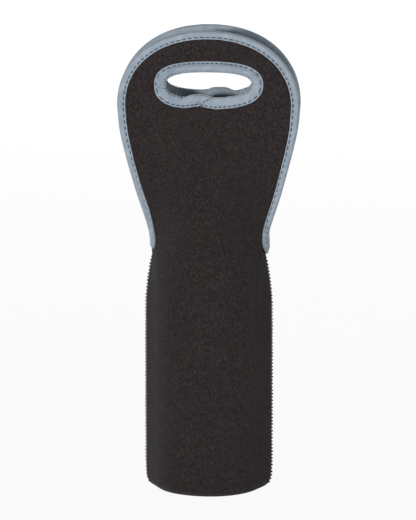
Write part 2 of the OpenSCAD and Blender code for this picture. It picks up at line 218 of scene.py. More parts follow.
# Knitted nylon jersey bonded to foam: matt and faintly hairy, each loop a little lighter or
# darker than the next, with painted shade in the hollows between loops. Its loops are 0.6 mm wide in life,
# drawn at 1.1 mm so that they show
def jerseyFinish(name, colours):
    look = {"wale": 1.1, "course": 0.95, "loop": 0.8, "fibre": (0.35, 3.0), "cloud": (40.0, 1.0),
            "relief": 0.11, "strength": 0.7, "legSlant": 1.5, "legShare": 0.5, "fibreShare": 1.4,
            "shade": (-1.0, 1.1), "pale": (0.32, 0.92), "wear": (0.42, 0.72), "wornShare": 0.3}
    ground, shadedHollow, fleck, dust = colours
    material, tree, shader = newFinish(name, roughness=0.95, sheen=0.1, specular=0.08)
    knit = flatPlace(tree, look["wale"], look["course"])
    knit = addNode(tree, "SeparateXYZ", {0: knit}).node.outputs
    arm = addNode(tree, "Math", {0: knit[0], 1: 0.5}, operation="PINGPONG")
    slant = addNode(tree, "Math", {0: arm, 1: look["legSlant"], 2: knit[1]}, operation="MULTIPLY_ADD")
    loops = addNode(tree, "Math", {0: waveOf(tree, slant), 1: look["legShare"], 2: waveOf(tree, arm)},
                    operation="MULTIPLY_ADD")
    # The hollows between the loops are painted darker than the ground: painted shade, following the same
    # waves as the bump
    body = tintBy(tree, loops, look["shade"], shadedHollow, ground)
    chance = addNode(tree, "TexVoronoi",
                     {"Vector": flatPlace(tree, look["loop"]), "Scale": 1.0}, out="Color")
    body = tintBy(tree, chance, look["pale"], body, fleck)
    dressCloth(tree, shader, look, loops, body, dust)
    return material


# Woven polyester binding: fine ribs run across it, and its rounded folds catch a soft shine.
# The ribs are 0.45 mm apart in life, drawn at 0.8 mm
def tapeFinish():
    look = {"rib": 0.8, "yarn": 0.7, "fibre": (0.5, 3.0), "cloud": (7.0, 4.0), "wander": 2.5,
            "relief": 0.11, "strength": 0.6, "wanderShare": 0.7, "yarnShare": 0.45, "fibreShare": 1.5,
            "shade": (-1.3, 0.9), "wear": (0.45, 0.75), "wornShare": 0.6,
            "shadedHollow": "#85929e", "litRidge": "#9ca8b4", "worn": "#adb9c3"}
    material, tree, shader = newFinish("woven polyester tape", roughness=0.68, sheen=0.1, specular=0.3)
    wander = addNode(tree, "TexNoise", {"Vector": flatPlace(tree, look["wander"]), "Scale": 1.0})
    place = flatPlace(tree, look["rib"], look["yarn"])
    place = addNode(tree, "SeparateXYZ", {0: place}).node.outputs
    across = addNode(tree, "Math", {0: wander, 1: look["wanderShare"], 2: place[0]},
                     operation="MULTIPLY_ADD")
    ribs, yarns = waveOf(tree, across), waveOf(tree, place[1])
    weave = addNode(tree, "Math", {0: yarns, 1: look["yarnShare"], 2: ribs}, operation="MULTIPLY_ADD")
    # The hollows of the weave are painted darker and its ridges lighter: painted shade and painted
    # highlight, following the same waves as the bump
    body = tintBy(tree, weave, look["shade"], look["shadedHollow"], look["litRidge"])
    dressCloth(tree, shader, look, weave, body, look["worn"])
    return material


# Twisted polyester sewing thread: a slight shine, with the turns of its plies across it. Its own colour is
# painted darker in the grooves between plies and lighter on their crowns: painted shade and painted
# highlight
def threadFinish(name, dark, light):
    look = {"turn": 0.85, "twist": 1.5, "relief": 0.05, "strength": 0.6}
    material, tree, shader = newFinish(name, roughness=0.6, sheen=0.05, specular=0.3)
    place = addNode(tree, "TexCoord", out="Object")
    place = addNode(tree, "Mapping", {0: place, "Scale": (1 / mm,) * 3})
    plies = addNode(tree, "TexWave",
                    {"Vector": place, "Scale": 1 / look["turn"], "Distortion": look["twist"]},
                    out=1, bands_direction="DIAGONAL")
    # Dark in the ply grooves and light on the ply crowns: painted shade and painted highlight over the
    # thread's own colour
    body = addNode(tree, "Mix", {0: plies, 6: dark, 7: light}, out=2, data_type="RGBA")
    linkFinish(tree, shader, body, plies, look["relief"], look["strength"])
    return material


# Closed-cell chloroprene foam: black and matt, with cut cells that show as fine pores, painted darker than
# the cell walls as painted shade
def foamFinish():
    look = {"cell": 0.6, "relief": 0.1, "strength": 0.6, "shade": (0.1, 0.6),
            "shadedPore": "#101011", "wall": "#232325"}
    material, tree, shader = newFinish("closed cell foam", roughness=0.85, sheen=0.0, specular=0.25)
    cells = addNode(tree, "TexVoronoi", {"Vector": flatPlace(tree, look["cell"]), "Scale": 1.0})
    # The pores are painted darker than the walls: painted shade in the cut cells, following the same cells
    # as the bump
    body = tintBy(tree, cells, look["shade"], look["shadedPore"], look["wall"])
    linkFinish(tree, shader, body, cells, look["relief"], look["strength"])
    return material


# The jerseys' colours are the ground, the painted shade in the hollows between loops, the pale loops and
# the dust
finishes = {
    "jersey": jerseyFinish("charcoal nylon jersey", ("#241f1f", "#1a1616", "#3d3636", "#2b2626")),
    "lining": jerseyFinish("black nylon lining", ("#201d1e", "#171516", "#2e2b2c", "#252223")),
    "foam": foamFinish(),
    "tape": tapeFinish(),
    "thread": threadFinish("slate sewing thread", "#2f3846", "#4a5562"),
    "seam_thread": threadFinish("black overlock thread", "#262222", "#3d3838"),
}
print("finishes:", ", ".join(finishes))

# Shape of the two panels, in millimetres, from the same sizes as the part
carrier = {
    "height": 340.5, "sleeveDepth": 82.0, "finReach": 5.0, "throatHeight": 174.0, "throatPinch": 4.8,
    "cornerRadius": 7.5, "footHeight": 0.2, "lobeWidth": 132.4, "crownHeight": 56.0,
    "waistDepth": 38.0, "edgeDepth": 20.0, "topDepth": 33.0, "crownRoundness": 2.15,
    "jersey": 0.4, "foam": 2.2, "lining": 0.4, "tape": 0.8, "seamGap": 0.1,
    "flatBelow": 12.0, "flatAbove": 42.0, "bulgePower": 2.0, "leanPower": 1.5, "seamRoll": 1.2,
    "rollEnd": 168.0, "rollFade": 8.0, "softness": 0.6, "softAcross": 34.0, "softUp": 42.0, "softSeed": 9.0,
}
waistShares = [(0, 0.35), (0.08, 0.06), (0.2, 0.02), (0.5, 0), (0.8, 0.06), (0.88, 0.3),
               (0.94, 0.62), (1, 1)]
flareShares = [(0, 0), (0.08, 0.03), (0.16, 0.085), (0.295, 0.262), (0.43, 0.46), (0.57, 0.64),
               (0.705, 0.8), (0.84, 0.93), (1, 1)]
drapeShares = [(0, 1), (0.08, 0.985), (0.2, 0.9), (0.3, 0.77), (0.4, 0.59), (0.53, 0.34),
               (0.67, 0.16), (0.83, 0.04), (1, 0)]
partShares = [(0, 0), (0.06, 0.26), (0.15, 0.42), (0.3, 0.56), (0.5, 0.7), (0.75, 0.86), (1, 1)]

laminate = carrier["jersey"] + carrier["foam"] + carrier["lining"]
sleeveRadius = carrier["sleeveDepth"] / 2
sleeveHalf = sleeveRadius + carrier["finReach"]
throatHeight = carrier["throatHeight"]
throatHalf = sleeveHalf - carrier["throatPinch"]
lobeHalf = carrier["lobeWidth"] / 2 - carrier["tape"]
wideHeight = carrier["height"] - carrier["tape"] - carrier["crownHeight"]


def mix(a, b, t):
    return a + (b - a) * t


def smooth(t):
    t = min(1.0, max(0.0, t))
    return t * t * (3 - 2 * t)


def slopeAt(table, k):
    a, b = table[max(0, k - 1)], table[min(len(table) - 1, k + 1)]
    return (b[1] - a[1]) / (b[0] - a[0])


# A smooth curve through a table of places and values
def curveAt(x, table):
    k = max(i for i in range(len(table) - 1) if i == 0 or table[i][0] <= x)
    (x0, y0), (x1, y1) = table[k], table[k + 1]
    w = x1 - x0
    t = (x - x0) / w
    return ((2 * t ** 3 - 3 * t ** 2 + 1) * y0 + (t ** 3 - 2 * t ** 2 + t) * w * slopeAt(table, k)
            + (3 * t ** 2 - 2 * t ** 3) * y1 + (t ** 3 - t ** 2) * w * slopeAt(table, k + 1))


# The round section is an arc with a straight run on each side to the seam: its radius, its
# turn, the length of its arc and its whole length, for a half width
@cache
def sectionAt(half):
    radius = min(sleeveRadius, half)
    turn = asin(radius / half)
    return radius, turn, radius * turn, radius * turn + sqrt(half ** 2 - radius ** 2)


# A place on it, from -1 at one seam to 1 at the other, as shares of width and depth
def roundSection(s, half):
    radius, fullTurn, arc, length = sectionAt(half)
    turn = fullTurn * min(1, abs(s) * length / arc)
    run = max(0, abs(s) * length - arc) / radius
    return copysign(sin(turn) + run * cos(turn), s) * radius / half, cos(turn) - run * sin(turn)


# The panels lie face to face at a side seam, so their depth there follows their slope
def seamDepth(half, middle, flat):
    radius, turn, arc, length = sectionAt(half)
    across = mix(length * cos(turn), half, flat)
    back = middle * (1 - flat) * length * sin(turn) / radius
    return laminate * across / hypot(across, back) + carrier["seamGap"] / 2


# Half width, middle depth, edge depth, flatness and bottom inset of a panel at a height
@cache
def rowAt(z):
    flatRun = carrier["flatBelow"] + carrier["flatAbove"]
    flat = smooth((z - throatHeight + carrier["flatBelow"]) / flatRun)
    flare = (z - throatHeight) / (wideHeight - throatHeight)
    crown = (z - wideHeight) / carrier["crownHeight"]
    if z < throatHeight:
        half = sleeveHalf - carrier["throatPinch"] * curveAt(z / throatHeight, waistShares)
        middle = sleeveRadius
        edge = seamDepth(half, middle, flat)
    elif z < wideHeight:
        half = mix(throatHalf, lobeHalf, curveAt(flare, flareShares))
        middle = mix(carrier["waistDepth"] / 2, sleeveRadius, curveAt(flare, drapeShares))
        throatEdge = seamDepth(throatHalf, sleeveRadius, smooth(carrier["flatBelow"] / flatRun))
        edge = mix(throatEdge, carrier["edgeDepth"] / 2, curveAt(flare, partShares))
    else:
        half = lobeHalf
        middle = mix(carrier["waistDepth"] / 2, carrier["topDepth"] / 2, crown ** carrier["leanPower"])
        edge = mix(carrier["edgeDepth"] / 2, carrier["topDepth"] / 2, crown)
    corner = carrier["cornerRadius"]
    drop = corner - max(0, z - carrier["footHeight"])
    inset = 0 if drop <= 0 else corner - sqrt(max(0, corner ** 2 - drop ** 2))
    return half, middle, edge, flat, inset


# A panel's outer face at the flat cloth's place (u, z). Side 0 is the front panel and 1 the
# back one, drawn here as if it were in front. A rolled face turns in at the side seams
def clothPoint(u, z, side, rolled):
    half, middle, edge, flat, inset = rowAt(z)
    s = u / lobeHalf
    roundX, roundY = roundSection(s, half)
    x = (half - inset) * mix(roundX, s, flat)
    bulge = max(0, 1 - s * s) ** carrier["bulgePower"]
    y = edge + (middle - inset - edge) * mix(roundY, bulge, flat)
    soft = Vector((u / carrier["softAcross"], z / carrier["softUp"], carrier["softSeed"] * side))
    y += carrier["softness"] * noise.noise(soft) * (1 - s * s)
    if rolled:
        reach = (lobeHalf - abs(u)) / carrier["seamRoll"]
        if reach < 1:
            fade = smooth((z - carrier["rollEnd"]) / carrier["rollFade"])
            y *= mix(sqrt(max(0, 1 - (1 - reach) ** 2)), 1, fade)
    return Vector((x, -y, z))


# How far the cloth is probed on each side of a place to find which way it faces
probe = 0.05


@cache
def skin(u, z, side, rolled=False):
    across = clothPoint(u + probe, z, side, rolled) - clothPoint(u - probe, z, side, rolled)
    rise = clothPoint(u, z + probe, side, rolled) - clothPoint(u, z - probe, side, rolled)
    return clothPoint(u, z, side, rolled), across.cross(rise).normalized()


# Edges that bend by more radians than this stay sharp
creases = {"cloth": 1.0, "thread": 2.0}


# Makes the piece from its mesh in millimetres; the back panel's pieces are turned half round
def makePiece(name, bm, finish, side=0):
    crease = creases["thread" if finish.endswith("thread") else "cloth"]
    if side:
        bmesh.ops.rotate(bm, cent=(0, 0, 0), matrix=Matrix.Rotation(pi, 3, "Z"), verts=bm.verts)
    bmesh.ops.scale(bm, vec=(mm, mm, mm), verts=bm.verts)
    bmesh.ops.recalc_face_normals(bm, faces=bm.faces)
    for face in bm.faces:
        face.smooth = True
    for edge in bm.edges:
        if len(edge.link_faces) == 2 and edge.calc_face_angle() > crease:
            edge.smooth = False
    piece = addObject(name, meshFrom(name, bm))
    piece.data.materials.append(finishes[finish])
    return piece


# A piece's placement is baked into its mesh; the cloth is not bent with the lobe
sideNames = ["front", "back"]


def bendWithLobe(piece):
    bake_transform(piece)


# Flat outline of a panel and its slot
panel = {"foldHeight": 178.0, "sideSteps": 34, "crownSteps": 70, "rings": 24, "rowSpacing": 3.0,
         "columnSpacing": 3.0, "cornerSteps": 8, "layerGap": 0.02, "foamTuck": 2.2, "tuckEnd": 166.0,
         "tuckFade": 10.0, "edgeColumns": [0, 0.12, 0.45, 0.95, 1.6, 2.4, 3.6, 5.4, 8.0]}
slot = {"width": 64.0, "height": 20.0, "across": 0.7, "middle": carrier["height"] - 39.4,
        "roundness": 2.5, "lowRoundness": 3.5}


def ovalPoint(angle, width, height, roundness):
    c, s = cos(angle), sin(angle)
    return (width * copysign(abs(c) ** (2 / roundness), c),
            height * copysign(abs(s) ** (2 / roundness), s))


def crownPoint(angle):
    u, z = ovalPoint(angle, lobeHalf, carrier["crownHeight"], carrier["crownRoundness"])
    return u, z + wideHeight


# The slot is fuller in its lower left quarter
def slotPoint(angle):
    lowLeft = cos(angle) < 0 and sin(angle) < 0
    roundness = slot["lowRoundness" if lowLeft else "roundness"]
    u, z = ovalPoint(angle, slot["width"] / 2, slot["height"] / 2, roundness)
    return u + slot["across"], z + slot["middle"]


def columnPlaces():
    inner = lobeHalf - panel["edgeColumns"][-1]
    count = round(inner / panel["columnSpacing"])
    right = [inner * k / count for k in range(count)]
    right += [lobeHalf - d for d in reversed(panel["edgeColumns"])]
    return [-u for u in reversed(right[1:])] + right


columns = columnPlaces()


def lobeOutline():
    fold = panel["foldHeight"]
    rises = [mix(fold, wideHeight, k / panel["sideSteps"]) for k in range(panel["sideSteps"])]
    line = [(u, fold) for u in columns[:-1]]
    line += [(lobeHalf, z) for z in rises]
    line += [crownPoint(pi * k / panel["crownSteps"]) for k in range(panel["crownSteps"] + 1)]
    line += [(-lobeHalf, z) for z in reversed(rises[1:])]
    return line


outline = lobeOutline()
slotRing = [slotPoint(atan2(z - slot["middle"], u - slot["across"])) for u, z in outline]


def rowHeights():
    foot, fold, corner = carrier["footHeight"], panel["foldHeight"], carrier["cornerRadius"]
    count = round((fold - foot - corner) / panel["rowSpacing"])
    rows = [mix(fold, foot + corner, k / count) for k in range(1, count + 1)]
    steps = panel["cornerSteps"]
    return rows + [foot + corner * (1 - sin(pi / 2 * k / steps)) for k in range(1, steps + 1)]


# A flat cloth starts as a ring of numbered corners and grows from its rim
def startCloth(places):
    bm = bmesh.new()
    station = bm.verts.layers.int.new("station")
    ring = bmesh.ops.create_circle(bm, segments=len(places), radius=1)["verts"]
    for k, vert in enumerate(ring):
        vert[station] = k
        vert.co = places[k]
    return bm, station, bm.edges[:]


def growCloth(bm, rim):
    made = bmesh.ops.extrude_edge_only(bm, edges=rim)["geom"]
    kinds = (bmesh.types.BMEdge, bmesh.types.BMVert)
    return [[part for part in made if isinstance(part, kind)] for kind in kinds]


# Maps the flat cloth along x and a second axis and doubles it; gives the second face's corners
def doubleCloth(bm, axis):
    cloth = bm.loops.layers.uv.new("cloth")
    for face in bm.faces:
        for loop in face.loops:
            loop[cloth].uv = (loop.vert.co.x * mm, loop.vert.co[axis] * mm)
    made = bmesh.ops.extrude_face_region(bm, geom=bm.faces[:])["geom"]
    return {part for part in made if isinstance(part, bmesh.types.BMVert)}


# One layer of a panel: rings spread from the slot to the outline, rows run down the sleeve,
# and the flat sheet is then given its two depths on the carrier
def buildPanel(name, finish, side, top, bottom, rolled=False, tuck=0.0):
    bm, station, rim = startCloth([(u, 0, z) for u, z in slotRing])
    for step in range(1, panel["rings"] + 1):
        rim, corners = growCloth(bm, rim)
        for vert in corners:
            inner, outer = slotRing[vert[station]], outline[vert[station]]
            share = step / panel["rings"]
            vert.co = (mix(inner[0], outer[0], share), 0, mix(inner[1], outer[1], share))
    last = len(columns) - 1
    rim = [edge for edge in rim if all(vert[station] <= last for vert in edge.verts)]
    for z in rowHeights():
        rim, corners = growCloth(bm, rim)
        for vert in corners:
            vert.co.z = z
    under = doubleCloth(bm, 2)
    for vert in bm.verts:
        u, z = vert.co.x, vert.co.z
        u *= 1 - tuck / lobeHalf * (1 - smooth((z - panel["tuckEnd"]) / panel["tuckFade"]))
        point, normal = skin(round(u, 5), round(z, 5), side, rolled)
        vert.co = point - normal * (bottom if vert in under else top)
    return makePiece(name, bm, finish, side)


# Each panel is jersey, foam and lining; the flat cut is 131 by 341 mm with a rounded top
for side, where in enumerate(sideNames):
    foamTop = carrier["jersey"]
    foamBottom = foamTop + carrier["foam"]
    gap = panel["layerGap"]
    outer = buildPanel(where + "_panel_jersey", "jersey", side, 0, foamTop, rolled=True)
    core = buildPanel(where + "_panel_foam", "foam", side, foamTop + gap, foamBottom - gap,
                      tuck=panel["foamTuck"])
    inner = buildPanel(where + "_panel_lining", "lining", side, foamBottom, laminate)
    for piece, layer in ((outer, "jersey"), (core, "foam"), (inner, "lining")):
        bendWithLobe(piece)
        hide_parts(where + "_sleeve_" + layer, where + "_lobe_" + layer)
print("panels are on the carrier")


def lengthsAlong(points):
    lengths = [0.0]
    for a, b in zip(points, points[1:]):
        lengths.append(lengths[-1] + hypot(b[0] - a[0], b[1] - a[1]))
    return lengths


# A flat line with its running length; at(t) gives the place there and the side it faces
class Route:
    def __init__(self, points, closed=False):
        self.points = points + points[:1] if closed else points
        self.lengths = lengthsAlong(self.points)
        self.total = self.lengths[-1]
        n = len(self.points) - 1
        self.facing = []
        for k in range(n + 1):
            a = self.points[(k - 1) % n if closed else max(0, k - 1)]
            b = self.points[(k + 1) % n if closed else min(n, k + 1)]
            self.facing.append(Vector((b[1] - a[1], a[0] - b[0])).normalized())
        self.closed = closed

    def at(self, t):
        if self.closed:
            t %= self.total
        k = min(max(bisect_right(self.lengths, t) - 1, 0), len(self.lengths) - 2)
        share = (t - self.lengths[k]) / (self.lengths[k + 1] - self.lengths[k])
        a, b = self.points[k], self.points[k + 1]
        facing = self.facing[k].lerp(self.facing[k + 1], share).normalized()
        return mix(a[0], b[0], share), mix(a[1], b[1], share), facing.x, facing.y


# A place on the panel: w inwards from a cut edge and h above the outer face.
# A negative w goes out past the edge, level with it
def onEdge(place, w, h, side):
    u, z, outU, outZ = place
    if w >= 0:
        point, normal = skin(u - outU * w, z - outZ * w, side)
        return point + normal * h
    point, normal = skin(u, z, side)
    outward = clothPoint(u + outU * probe, z + outZ * probe, side, False) - point
    return point - outward.normalized() * w + normal * h


# A strip of cloth wrapped to a section: a grid whose point (i, j) goes where place says
def wrapStrip(along, section, place, lengthScale=1.0):
    bm = bmesh.new()
    cloth = bm.loops.layers.uv.new("cloth")
    around = len(section)
    girth = lengthsAlong(section + section[:1])
    bmesh.ops.create_grid(bm, x_segments=along, y_segments=around, size=0.5)
    for face in bm.faces:
        for loop in face.loops:
            i = round((loop.vert.co.x + 0.5) * along)
            j = round((loop.vert.co.y + 0.5) * around)
            loop[cloth].uv = (i * lengthScale * mm, girth[j] * mm)
    for vert in bm.verts:
        i = round((vert.co.x + 0.5) * along)
        j = round((vert.co.y + 0.5) * around) % around
        vert.co = place(i, j)
    bmesh.ops.remove_doubles(bm, verts=bm.verts, dist=1e-5)
    bmesh.ops.edgeloop_fill(bm, edges=[edge for edge in bm.edges if edge.is_boundary])
    return bm


# One stitch: a plump lozenge of thread from a to b, its ends drawn into the cloth
def addStitch(bm, a, b, normal, size):
    width, height = size
    along = b - a
    across = normal.cross(along).normalized()
    up = along.cross(across).normalized()
    place = Matrix((across * width / 2, up * height / 2, along / 2)).transposed().to_4x4()
    place.translation = (a + b) / 2
    bmesh.ops.create_uvsphere(bm, u_segments=8, v_segments=5, radius=1, matrix=place)


# A stitch by the front's right edge, from its middle and how far it reaches across and up
def addEdgeStitch(bm, w, z, across, rise, lift, size):
    ends = [onEdge((lobeHalf, z + way * rise, 1, 0), w + way * across, lift, 0) for way in (-1, 1)]
    addStitch(bm, *ends, skin(lobeHalf - w, z, 0)[1], size)


# One face of a binding's section, from the inner lip over the edge to the middle of the
# laminate: (w, h) pairs. The stitch row lies in a groove between the lip and the puffed part
def bindingFace(tape, puff):
    leg, groove, corner = tape["leg"], tape["groove"], tape["corner"]
    row = leg - groove
    run = row - 1.6
    return [(leg - 0.15, -0.05), (leg + 0.02, 0.3), (leg - 0.06, 0.66), (leg - 0.3, 0.86),
            (row + groove * 0.5, 0.84), (row + 0.28, 0.62), (row, 0.5), (row - 0.35, 0.62),
            (row - 0.9, 0.84), (run, 0.84 + puff * 0.7), (run * 0.62, 0.84 + puff),
            (run * 0.32, 0.8 + puff * 0.85), (run * 0.08, mix(0.66, 0.8, corner) + puff * 0.5),
            (-0.25, mix(0.32, 0.56, corner) + puff * 0.22), (-0.58, mix(-0.2, 0.08, corner)),
            (-0.76, mix(-0.85, -0.65, corner)), (-0.8, -1.5)]


# The whole section, and how many of its places lie on the outside of the tape
def bindingSection(tape):
    front, behind = bindingFace(tape, tape["puff"]), bindingFace(tape, tape["puffBehind"])
    back = [(w, -laminate - h) for w, h in reversed(behind[:-1])]
    near, far = -0.15, -laminate + 0.15
    reaches = [tape["leg"] - 0.6, tape["leg"] * 0.5, 0.3]
    inside = [(w, far) for w in reaches] + [(w, near) for w in reversed(reaches)]
    return front + back + inside, len(front + back)


# A slow random wave of a tape: its size, then its lengths along and across the tape
def waveAt(wave, t, w, side):
    size, along, across = wave
    return size * noise.noise(Vector((t / along, w / across, side * 5.0)))


# The stitches pull a row of dimples into the tape's groove
def dimpleAt(tape, pitch, t, w):
    row = tape["leg"] - tape["groove"]
    return exp(-((w - row) / 0.9) ** 2) * tape["dimple"] * cos(2 * pi * t / pitch)


# One stitch of a tape's row on each face of the laminate; placeAt gives the row's place there
def sewStitch(bm, tape, placeAt, middle, row, lift, side, luck):
    for h, turn in ((lift, 1), (-laminate - lift, -1)):
        half = tape["stitchLength"] / 2 * luck.uniform(*tape["uneven"])
        slant = luck.uniform(*tape["tilt"])
        a = onEdge(placeAt(middle - half), row + slant, h, side)
        b = onEdge(placeAt(middle + half), row - slant, h, side)
        normal = skin(*placeAt(middle)[:2], side)[1] * turn
        addStitch(bm, a, b, normal, tape["stitchSize"])


# Where a tape spreads, sinks or tacks are sewn, the pairs of sizes are for left and right
edgeTape = {"leg": 5.3, "groove": 1.4, "puff": 0.6, "puffBehind": 0.12, "corner": 0, "spacing": 0.9,
            "endHeight": 179.5, "sideSteps": 100, "crownSteps": 260, "dimple": 0.3, "wave": (-0.1, 7, 3),
            "lipFrom": 4.0, "lipWave": (0.16, 5, 1), "stitchPitch": 4.5, "stitchLength": 3.6,
            "stitchSize": (0.88, 0.6), "stitchLift": 0.62, "wander": 0.12, "uneven": (0.93, 1.06),
            "tilt": (0.02, 0.16),
            "spread": (2.6, 2.0), "spreadLow": 188.0, "spreadHigh": (240.0, 212.0),
            "sink": (0.5, 0.175), "sinkAt": 256.0, "sinkRun": 30.0,
            "slack": (0.0, 0.7), "slackFrom": 0.5, "slackAt": 200.0, "slackRun": 28.0,
            "tacks": [(2.6, 194.4, 0.8), (2.6, 194.4, -0.8), (2.6, 191.5, 0.8), (2.6, 191.5, -0.8)],
            "tackRise": 0.85, "tackSize": (0.6, 0.5), "tackLift": 1.35}


def edgeRoute():
    rise, crown = edgeTape["sideSteps"], edgeTape["crownSteps"]
    rises = [mix(edgeTape["endHeight"], wideHeight, k / rise) for k in range(rise)]
    line = [(lobeHalf, z) for z in rises]
    line += [crownPoint(pi * k / crown) for k in range(crown + 1)]
    line += [(-lobeHalf, z) for z in reversed(rises)]
    return Route(line)


def edgeSize(name, place, side):
    onRight = (place[0] > 0) == (side == 0)
    return edgeTape[name][onRight]


# Towards the throat the tape spreads and hangs slack, and there its stitches sink in
def edgeSpread(place, side):
    low, high = edgeTape["spreadLow"], edgeSize("spreadHigh", place, side)
    share = 1 - smooth((place[1] - low) / (high - low))
    return 1 + edgeSize("spread", place, side) / edgeTape["leg"] * share


def edgeSink(place, side):
    share = smooth((edgeTape["sinkAt"] - place[1]) / edgeTape["sinkRun"])
    return edgeSize("sink", place, side) * share


def edgeSlack(place, side):
    away = (place[1] - edgeTape["slackAt"]) / edgeTape["slackRun"]
    return edgeSize("slack", place, side) * exp(-away ** 2)


def buildEdgeTape(tape, side):
    where, route = sideNames[side], edgeRoute()
    along = round(route.total / tape["spacing"])
    section, shown = bindingSection(tape)
    count = int(route.total / tape["stitchPitch"])
    pitch = route.total / count
    places = [route.at(route.total * i / along) for i in range(along + 1)]
    row = tape["leg"] - tape["groove"]

    def place(i, j):
        w, h = section[j]
        t = route.total * i / along
        if j < shown:
            swell = dimpleAt(tape, pitch, t, w) + waveAt(tape["wave"], t, w, side)
            h += swell if h > -laminate / 2 else -swell
            if w > tape["lipFrom"]:
                w += waveAt(tape["lipWave"], t, 3.0, side)
        if w < tape["slackFrom"]:
            w -= edgeSlack(places[i], side)
        return onEdge(places[i], w * (edgeSpread(places[i], side) if w > 0 else 1), h, side)

    bm = wrapStrip(along, section, place, lengthScale=tape["spacing"])
    strip = makePiece(where + "_edge_tape", bm, "tape", side)
    bendWithLobe(strip)
    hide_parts(where + "_edge_binding")

    bm = bmesh.new()
    luck = random.Random(4 + side)
    for k in range(2, count - 2):
        middle = (k + 0.5) * pitch + luck.uniform(-tape["wander"], tape["wander"])
        spot = route.at(middle)
        lift = tape["stitchLift"] - edgeSink(spot, side)
        sewStitch(bm, tape, route.at, middle, row * edgeSpread(spot, side), lift, side, luck)
    # Crossed tacks end the row on the right of the front
    for w, z, tilt in tape["tacks"] if side == 0 else []:
        addEdgeStitch(bm, w, z, tilt, tape["tackRise"], tape["tackLift"], tape["tackSize"])
    stitches = makePiece(where + "_edge_stitches", bm, "thread", side)
    bendWithLobe(stitches)
    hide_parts(where + "_edge_stitching")


# The tape starts at startAt and runs once round the slot and over its own start. The rows on
# its slanted end are given as the distance from the end and the (w, h) of their stitches
slotTape = {"leg": 7.4, "groove": 1.4, "puff": 0.15, "puffBehind": 0.15, "corner": 1, "spacing": 0.38,
            "dimple": 0.3, "wave": (0.12, 8, 3), "lipFrom": 5.0, "lipWave": (0.14, 4, 1),
            "steps": 400, "round": 2.0, "roundBelow": 6.0, "roundRun": 12.0, "swellRun": 1.5,
            "startAt": -9.0, "overlap": 13.1, "slant": 1.35, "rise": 0.75, "riseFrom": 5.0, "riseRun": 6.0,
            "startTuck": 0.35, "bumpAt": -7.0, "bumpWidth": 7.2, "peakWidth": 6.0, "bump": 1.95,
            "narrowAt": -19.0, "narrowRun": 4.0, "narrow": 0.8, "rim": 1.5,
            "stitchPitch": 3.25, "stitchLength": 2.6, "stitchSize": (0.95, 0.7),
            "stitchLift": 0.62, "wander": 0.1, "uneven": (0.92, 1.08), "tilt": (0.02, 0.18),
            "lapLift": 0.45, "lapShare": 0.6, "endReach": 0.8, "endSize": (0.6, 0.5),
            "endMiddle": slot["middle"] - 14.0,
            "endRows": [(1.0, ((1.2, 1.42), (3.2, 1.45), (5.2, 0.95))), (3.4, ((4.4, 1.2), (6.0, 0.75)))]}
pucker = {"pitch": 2.3, "depth": 1.5, "middle": 0.6, "from": 14.0, "run": 12.0, "left": 1.1,
          "right": (0.2, 0.7), "rightBelow": 7.0, "rightRun": 6.0, "least": 0.16, "wander": 1.2,
          "wanderRun": 6.0, "even": 0.8, "uneven": 0.6, "unevenRun": 3.0, "stop": 0.3, "fade": 3.0,
          "rim": 0.7}


def slotRoute():
    steps, startAt = slotTape["steps"], slotTape["startAt"]
    line = [slotPoint(-pi / 2 + 2 * pi * k / steps) for k in range(steps)]
    first = min(range(steps), key=lambda k: hypot(line[k][0] - startAt, line[k][1] - line[0][1]))
    return Route(line[first:] + line[:first], closed=True)


# The lap pushes the tape up into the opening there: a flat hump at its rim, a peak at its lip
def slotPlace(route, t, w=0.0):
    u, z, outU, outZ = route.at(t)
    if z < slot["middle"]:
        away = abs(u - slotTape["bumpAt"])
        hump = 1 / (1 + (away / slotTape["bumpWidth"]) ** 6)
        peak = exp(-(away / slotTape["peakWidth"]) ** 2)
        z += slotTape["bump"] * mix(hump, peak, max(0, w) / slotTape["leg"])
    return u, z, -outU, -outZ


# How far the tape lies above its own start where it laps over it
def lapRise(route, t):
    return slotTape["rise"] * smooth((t - route.total + slotTape["riseFrom"]) / slotTape["riseRun"])


# The tape puckers where it bends round the slot's ends: deepest at the left, faint at the
# lower right and along the straights. The folds fade towards the stitch row
def puckerAt(t, w, u, z, side):
    share = smooth((abs(u) - pucker["from"]) / pucker["run"])
    if u > 0:
        low, high = pucker["right"]
        share *= mix(low, high, smooth((z - slot["middle"] + pucker["rightBelow"]) / pucker["rightRun"]))
    else:
        share *= pucker["left"]
    drift = pucker["wander"] * noise.noise(Vector((t / pucker["wanderRun"], 0.5, side * 4.0)))
    fold = abs(sin(pi * t / pucker["pitch"] + drift))
    depth = pucker["depth"] * (pucker["least"] + (1 - pucker["least"]) * share)
    depth *= pucker["even"] + pucker["uneven"] * noise.noise(Vector((t / pucker["unevenRun"], 2, side)))
    row = slotTape["leg"] - slotTape["groove"]
    return depth * (fold - pucker["middle"]) * smooth((row + pucker["stop"] - w) / pucker["fade"])


